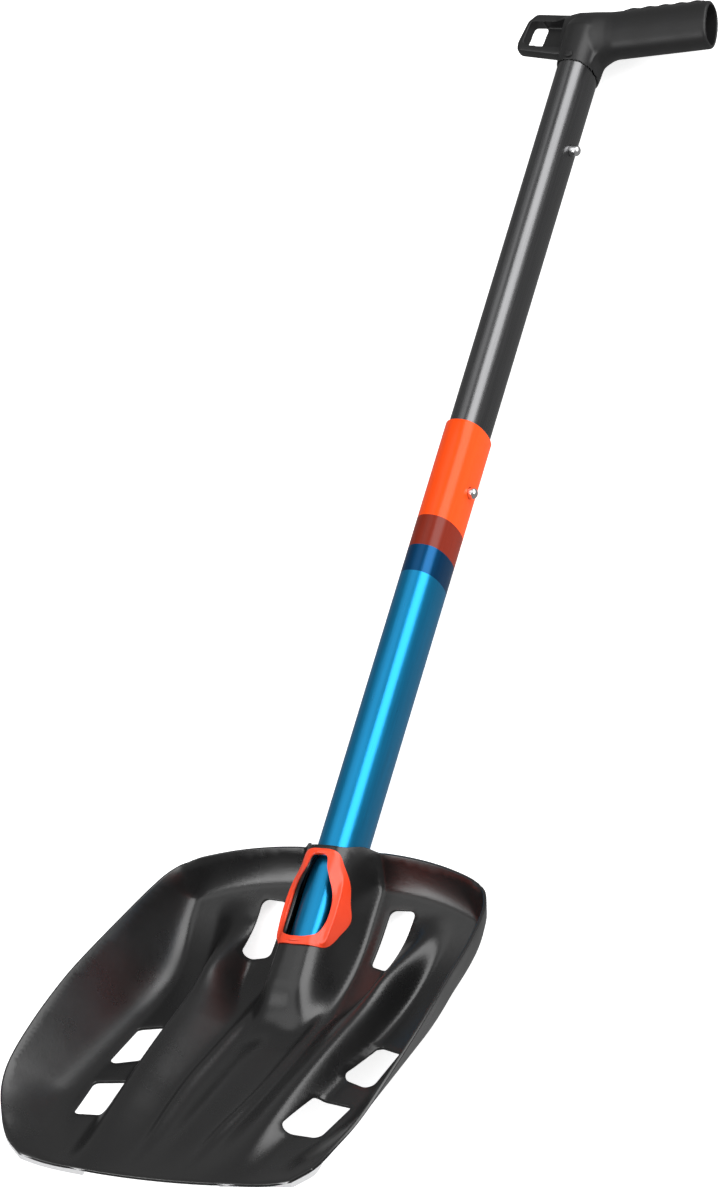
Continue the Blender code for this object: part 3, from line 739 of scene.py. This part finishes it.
def make_window_frame():
    """The moulded frame that saddles the tunnel: a flat top facet and a steep side facet."""
    inner, shoulder, outer = (frame_curve(which) for which in (0, 1, 2))

    def lerp(a, b, share):
        return [p.lerp(q, share) for p, q in zip(a, b)]

    def raised(curve, height):
        return [Vector((p.x, -p.y, height(p))) for p in curve]

    def sheet(lift):
        return lambda p: blade_height(p.x, p.y) + lift

    def top(drop):
        return lambda p: max(frame_top(p.x) - drop, blade_height(p.x, p.y) + 0.0016)

    loops = [raised(outer, sheet(0.0004))]
    foot = raised(outer, sheet(0.0013))
    crown = raised(lerp(shoulder, inner, 0.02), top(0.0010))
    for share in (0.0, 0.25, 0.5, 0.75, 0.93):
        loops.append([p.lerp(q, share) for p, q in zip(foot, crown)])
    loops.append(raised(lerp(shoulder, inner, 0.02), top(0.0008)))
    loops.append(raised(lerp(shoulder, inner, 0.08), top(0.0003)))
    for share in (0.18, 0.38, 0.58, 0.78):
        loops.append(raised(lerp(shoulder, inner, share), top(0.0)))
    loops.append(raised(lerp(shoulder, inner, 0.90), top(0.0002)))
    loops.append(raised(lerp(shoulder, inner, 0.975), top(0.0006)))
    loops.append(raised(inner, top(0.0012)))
    loops.append(raised(inner, sheet(0.0004)))
    for share in (0.12, 0.25, 0.4, 0.55, 0.7, 0.85):
        loops.append(raised(lerp(inner, outer, share), sheet(0.0004)))
    made = loft("orange_window_frame", loops, ring=True, angle=55)
    made.data.materials.append(finishes["orange"])
    place(made)
    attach(made, "blade_unit")
    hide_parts("window_frame")
    return made


# ---------------------------------------------------------------- the tubes
def tube_loops(half, wall, span, edge=0.0007):
    """Loops of an oval tube whose rims are rounded."""
    x, z = half
    low, high = span
    loops = []
    arc = [math.radians(a) for a in (0, 22.5, 45, 67.5, 90)]
    length = high - low
    stretches = 24
    for a in arc:
        inset = edge * (1 - math.sin(a))
        loops.append(oval_loop(x - inset, z - inset, low + edge * (1 - math.cos(a))))
    for i in range(1, stretches):
        loops.append(oval_loop(x, z, low + length * i / stretches))
    for a in reversed(arc):
        inset = edge * (1 - math.sin(a))
        loops.append(oval_loop(x - inset, z - inset, high - edge * (1 - math.cos(a))))
    loops.append(oval_loop(x - wall, z - wall, high))
    loops.append(oval_loop(x - wall, z - wall, low))
    return loops


def make_tube(name, half, wall, span, button_places):
    """A tube with a hole in its right side at each button's place."""
    tube = loft(name, tube_loops(half, wall, span), ring=True, angle=30)
    for y in button_places:
        cutter = loft("hole", [circle_loop(BUTTON_HOLE, along, 48) for along in (0.0, 0.03)])
        cutter.matrix_world = Matrix.Translation((0, y, 0))
        boolean(tube, cutter)
    finish_shading(tube.data, 30)
    return tube


def make_shafts():
    holes = (EXTEND_BUTTON_Y,)
    lower = make_tube("blue_lower_tube", LOWER_SHAFT, LOWER_WALL, LOWER_SHAFT_Y, holes)
    lower.data.materials.append(finishes["bands"])
    place(lower)
    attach(lower, "lower_shaft_unit")
    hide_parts("lower_shaft")
    holes = (EXTEND_BUTTON_Y, STOW_BUTTON_Y)
    upper = make_tube("grey_upper_tube", UPPER_SHAFT, UPPER_WALL, UPPER_SHAFT_Y, holes)
    upper.data.materials.append(finishes["grey"])
    place(upper)
    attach(upper, "upper_shaft_unit")
    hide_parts("upper_shaft")


def make_buttons():
    """The domed heads of the two snap buttons."""
    flange = UPPER_SHAFT[0] - UPPER_WALL - 0.0004  # its face stays clear of the tube's wall
    wide = BUTTON_RADIUS + BUTTON_FLANGE
    for label, y in (("extend", EXTEND_BUTTON_Y), ("stow", STOW_BUTTON_Y)):
        loops = [
            circle_loop(wide, flange - 0.0015),
            circle_loop(wide, flange),
            circle_loop(BUTTON_RADIUS, flange),
        ]
        for i in range(10):
            angle = math.radians(9 * i)
            top = BUTTON_TIP - BUTTON_DOME + BUTTON_DOME * math.sin(angle)
            loops.append(circle_loop(BUTTON_RADIUS * math.cos(angle), top))
        button = loft(f"{label}_button_dome", loops, angle=50)
        button.location = (0, y, 0)
        bpy.context.view_layer.update()
        button.data.materials.append(finishes["steel"])
        place(button)
        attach(button, f"{label}_lock")
        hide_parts(f"{label}_lock_button")


# ---------------------------------------------------------------- the grip
# The flat eye beside the shaft and its openings, as (x, y) corners.
EYE = (
    (0.0, 0.5700), (-0.0185, 0.5695), (-0.0465, 0.5725), (-0.0472, 0.5790),
    (-0.0442, 0.5950), (-0.0395, 0.6005), (0.0, 0.6000),
)
EYE_HOLE = ((-0.0330, 0.5755), (-0.0430, 0.5770), (-0.0415, 0.5945), (-0.0315, 0.5945))
EYE_POCKET = ((-0.0160, 0.5755), (-0.0340, 0.5755), (-0.0325, 0.5945), (-0.0160, 0.5945))
EYE_DEPTH = 0.0045


def grip_section(x, half_y, half_z, steps=96, shift=0.0):
    """A section of the grip tube, square to its tilted axis, at this distance from the shaft."""
    axis = Vector((math.cos(GRIP_TILT), math.sin(GRIP_TILT), 0))
    across = Vector((-axis.y, axis.x, 0))
    start = Vector((0, GRIP_AXIS_Y, 0)) + axis * (x / axis.x) + across * shift
    section = oval(half_y, half_z, steps, GRIP_SQUARENESS)
    return [start + across * a + Vector((0, 0, b)) for a, b in section]


def join(first, others):
    """Puts other meshes into the first as they are, overlapping."""
    bm = bmesh.new()
    for obj in [first, *others]:
        made = obj.data.copy()
        made.transform(obj.matrix_world)
        bm.from_mesh(made)
        bpy.data.meshes.remove(made)
    for obj in others:
        bpy.data.objects.remove(obj)
    bm.to_mesh(first.data)
    bm.free()
    return first


def remesh(obj, voxel, relax=0, factor=0.5):
    """One closed skin over overlapping bodies, with its corners relaxed."""
    skin = obj.modifiers.new("skin", "REMESH")
    skin.mode = "VOXEL"
    skin.voxel_size = voxel
    if relax:
        soft = obj.modifiers.new("soft", "SMOOTH")
        soft.factor = factor
        soft.iterations = relax
    return apply_modifiers(obj)


def make_grip():
    """The moulded grip: collar, tilted tube and flat eye in one skin, then its openings."""
    half_y, half_z = GRIP_SECTION
    tube = []
    crown = (
        (-0.030, 0.0044), (-0.022, 0.0052), (-0.015, 0.0085), (-0.008, 0.0130), (-0.002, 0.0160),
    )
    for x, depth in crown:
        level = -x * math.tan(GRIP_TILT)
        tube.append(grip_section(x, half_y - 0.0045, depth, shift=0.0040 + level))
    for x in (0.004, 0.008, 0.012, 0.016, 0.020, 0.024, 0.028, 0.034, 0.050, 0.066):
        near = 1 - smooth(x, 0.003, 0.020)
        wide, deep = half_y + 0.0030 * near, half_z + 0.0052 * near
        tube.append(grip_section(x, wide, deep, shift=-0.0030 * near))
    tube.append(grip_section(GRIP_END_X - 0.0010, half_y, half_z))
    tube.append(grip_section(GRIP_END_X, half_y - 0.0007, half_z - 0.0007))
    grip = loft("black_grip", tube)
    eye_middle = 0.5870
    loops = []
    for z in (-EYE_DEPTH, -EYE_DEPTH + 0.0015, EYE_DEPTH - 0.0015, EYE_DEPTH):
        shrink = 0.975 if abs(z) > EYE_DEPTH - 0.0001 else 1.0
        loop = []
        for x, y in rounded(EYE, 0.0030):
            loop.append(Vector((x * shrink, eye_middle + (y - eye_middle) * (2 * shrink - 1), z)))
        loops.append(loop)
    eye = loft("eye", loops)
    collar_wall = 0.0012
    x, z = UPPER_SHAFT[0] + GAP + collar_wall, UPPER_SHAFT[1] + GAP + collar_wall
    collar = loft(
        "collar",
        [
            oval_loop(x - 0.0008, z - 0.0006, GRIP_COLLAR_Y),
            oval_loop(x - 0.0003, z, GRIP_COLLAR_Y + 0.0060),
            oval_loop(x + 0.0008, z, 0.5840),
            oval_loop(x, z - 0.0022, 0.5890),
            oval_loop(x - 0.0010, z - 0.0070, 0.5935),
            oval_loop(x - 0.0030, z - 0.0120, 0.5955),
        ],
    )
    web = (
        (0.0070, 0.5585), (0.0124, 0.5600), (0.0134, 0.5665),
        (0.0150, 0.5700), (0.0190, 0.5735), (0.0100, 0.5850),
    )
    join(grip, [eye, collar, prism("web", web, -0.0090, 0.0090)])
    remesh(grip, 0.0007, 9, 0.6)
    bore = [oval_loop(UPPER_SHAFT[0] + GAP, UPPER_SHAFT[1] + GAP, y) for y in (0.50, 0.5850)]
    boolean(grip, loft("shaft_bore", bore))
    mouth = [grip_section(0.0240, *GRIP_BORE), grip_section(0.1000, *GRIP_BORE)]
    boolean(grip, loft("mouth", mouth))
    boolean(grip, prism("eye_hole", rounded(EYE_HOLE, 0.0028), -0.03, 0.03))
    boolean(grip, prism("eye_pocket", rounded(EYE_POCKET, 0.0010), 0.0015 - EYE_DEPTH, 0.03))
    boolean(grip, pad_body("pad_groove", GAP))
    remesh(grip, 0.00055, 2, 0.5)
    finish_shading(grip.data, 70)
    grip.data.materials.append(finishes["grip"])
    place(grip)
    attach(grip, "upper_shaft_unit")
    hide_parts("grip")
    pad = pad_body("grip_pad_soft", 0.0)
    finish_shading(pad.data, 50)
    pad.data.materials.append(finishes["rubber"])
    place(pad)
    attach(pad, "upper_shaft_unit")
    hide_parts("grip_pad")


def pad_body(name, grow):
    """The soft strip set into the top of the grip tube, with finger ridges."""
    axis = Vector((math.cos(GRIP_TILT), math.sin(GRIP_TILT), 0))
    across = Vector((-axis.y, axis.x, 0))
    start, end, steps = 0.0250, 0.0790, 108
    pitch, sink, proud, ridge = 0.0108, -0.0016, 0.0003, 0.0008
    half_width, crown = 0.0052 + grow, GRIP_SECTION[0]
    shares = [-1.0 + 0.2 * k for k in range(11)]
    loops = []
    for i in range(steps + 1):
        along = start + (end - start) * i / steps
        fade = smooth(along, start, start + 0.004) * (1 - smooth(along, end - 0.004, end))
        wave = 0.5 - 0.5 * math.cos(2 * math.pi * (along - start) / pitch)
        high = proud + ridge * fade * wave + (0.004 if grow else 0.0)
        if i == 0:
            along -= grow
        if i == steps:
            along += grow
        centre = Vector((0, GRIP_AXIS_Y, 0)) + axis * along
        path = [(share * half_width, sink - grow) for share in shares]
        path += [(share * half_width, high - 0.0006 * share**2) for share in reversed(shares)]
        loops.append([centre + across * (crown + up) + Vector((0, 0, z)) for z, up in path])
    return loft(name, loops)


# ---------------------------------------------------------------- the plain CAD pieces
def dress_cad_pieces():
    """Gives each CAD node that still shows its own finish."""
    dress = {
        "socket_sleeve": "liner",
        "back_plate": "coat",
        "lower_shaft_plug": "liner",
        "upper_shaft_plug": "liner",
        "blade_lock_button": "steel",
        "blade_lock_spring": "dark_steel",
        "extend_lock_spring": "dark_steel",
        "stow_lock_spring": "dark_steel",
        "grip_rivet_front": "liner",
        "grip_rivet_back": "liner",
    }
    for node, finish in dress.items():
        mesh = nodes[node].data
        mesh.materials.clear()
        mesh.materials.append(finishes[finish])


# ---------------------------------------------------------------- the studio
SUBJECT = Vector((0.0, 0.0, 0.04))  # what the lights face


def make_floor():
    """A plain white ground."""
    size = 6.0
    mesh = bpy.data.meshes.new("floor")
    corners = [(-size, -size, 0), (size, -size, 0), (size, size, 0), (-size, size, 0)]
    mesh.from_pydata(corners, [], [(0, 1, 2, 3)])
    floor = link("floor", mesh)
    paper = Shader("white_paper", (0.93, 0.93, 0.93), 0.95)
    paper.set("Specular IOR Level", 0.0)
    paper.set("Emission Color", (1.0, 1.0, 1.0, 1.0))
    paper.set("Emission Strength", 0.7)
    floor.data.materials.append(paper.material)
    floor.visible_glossy = False


def area_light(name, direction, distance, width, height, power):
    """A soft box that stands in this direction from the shovel and faces it."""
    light = bpy.data.lights.new(name, "AREA")
    light.shape = "RECTANGLE"
    light.size = width
    light.size_y = height
    light.energy = power
    made = bpy.data.objects.new(name, light)
    bpy.context.scene.collection.objects.link(made)
    away = Vector(direction).normalized()
    made.location = SUBJECT + away * distance
    made.rotation_mode = "QUATERNION"
    made.rotation_quaternion = away.to_track_quat("Z", "Y")


def make_lights():
    """A large key on the right, a soft box above and a small one in front, over a dim sky."""
    area_light("key_box", (0.784, 0.40, 0.52), 2.4, 3.4, 2.1, 78)
    area_light("top_box", (-0.15, 0.10, 1.0), 2.6, 2.4, 2.8, 20)
    area_light("front_box", (-0.46, -0.60, 0.65), 2.6, 1.2, 1.2, 26)
    world = bpy.data.worlds.new("studio")
    world.use_nodes = True
    world.node_tree.nodes["Background"].inputs["Color"].default_value = (1, 1, 1, 1)
    world.node_tree.nodes["Background"].inputs["Strength"].default_value = 0.26
    bpy.context.scene.world = world


CAMERA_AZIMUTH = math.radians(47.27)
CAMERA_ELEVATION = math.radians(51.66)
CAMERA_ROLL = math.radians(-37.02)
CAMERA_DISTANCE = 3.840
CAMERA_AIM = (0.00981, 0.1527)  # along the picture's right and up, from the blade's top edge
FRAME_HEIGHT = 1187
FOCAL_PIXELS = 6400
SENSOR = 36.0


def make_camera():
    """A long lens that looks at the blade and shaft from above and to the right."""
    a, e = CAMERA_AZIMUTH, CAMERA_ELEVATION
    view = Vector((math.sin(a) * math.cos(e), -math.cos(a) * math.cos(e), math.sin(e)))
    level = Vector((math.cos(a), math.sin(a), 0))
    upright = view.cross(level)
    turned = Matrix((level, upright, view)).transposed() @ Matrix.Rotation(CAMERA_ROLL, 3, "Z")
    right, up = turned.col[0], turned.col[1]
    data = bpy.data.cameras.new("camera")
    data.sensor_width = SENSOR
    data.lens = FOCAL_PIXELS / FRAME_HEIGHT * SENSOR
    data.clip_end = 50.0
    camera = bpy.data.objects.new("camera", data)
    bpy.context.scene.collection.objects.link(camera)
    origin = Vector((0, TOP_EDGE_Y, AXIS_HEIGHT))
    place_at = origin + right * CAMERA_AIM[0] + up * CAMERA_AIM[1] + view * CAMERA_DISTANCE
    camera.matrix_world = Matrix.Translation(place_at) @ turned.to_4x4()
    bpy.context.scene.camera = camera


make_camera()
make_floor()
make_lights()
bpy.context.scene.view_settings.view_transform = "Standard"
finishes = {
    "coat": coated_black(),
    "ground": bare_aluminium(),
    "bands": shaft_bands(),
    "grey": grey_anodised(),
    "orange": moulded("orange_plastic", (1.0, 0.076, 0.022), (0.95, 0.066, 0.019), 0.30),
    "liner": moulded("black_plastic", (0.009, 0.009, 0.0095), (0.007, 0.007, 0.007), 0.42),
    "grip": moulded("grip_plastic", (0.010, 0.010, 0.0105), (0.008, 0.008, 0.008), 0.46),
    "rubber": moulded("grip_rubber", (0.011, 0.011, 0.011), (0.008, 0.008, 0.008), 0.72, 1800, 0.25),
    "steel": steel("bright_steel", (0.78, 0.78, 0.79), 0.16),
    "dark_steel": steel("spring_steel", (0.30, 0.30, 0.31), 0.34),
}
make_blade()
make_ground_edges()
make_window_frame()
make_shafts()
make_buttons()
make_grip()
dress_cad_pieces()
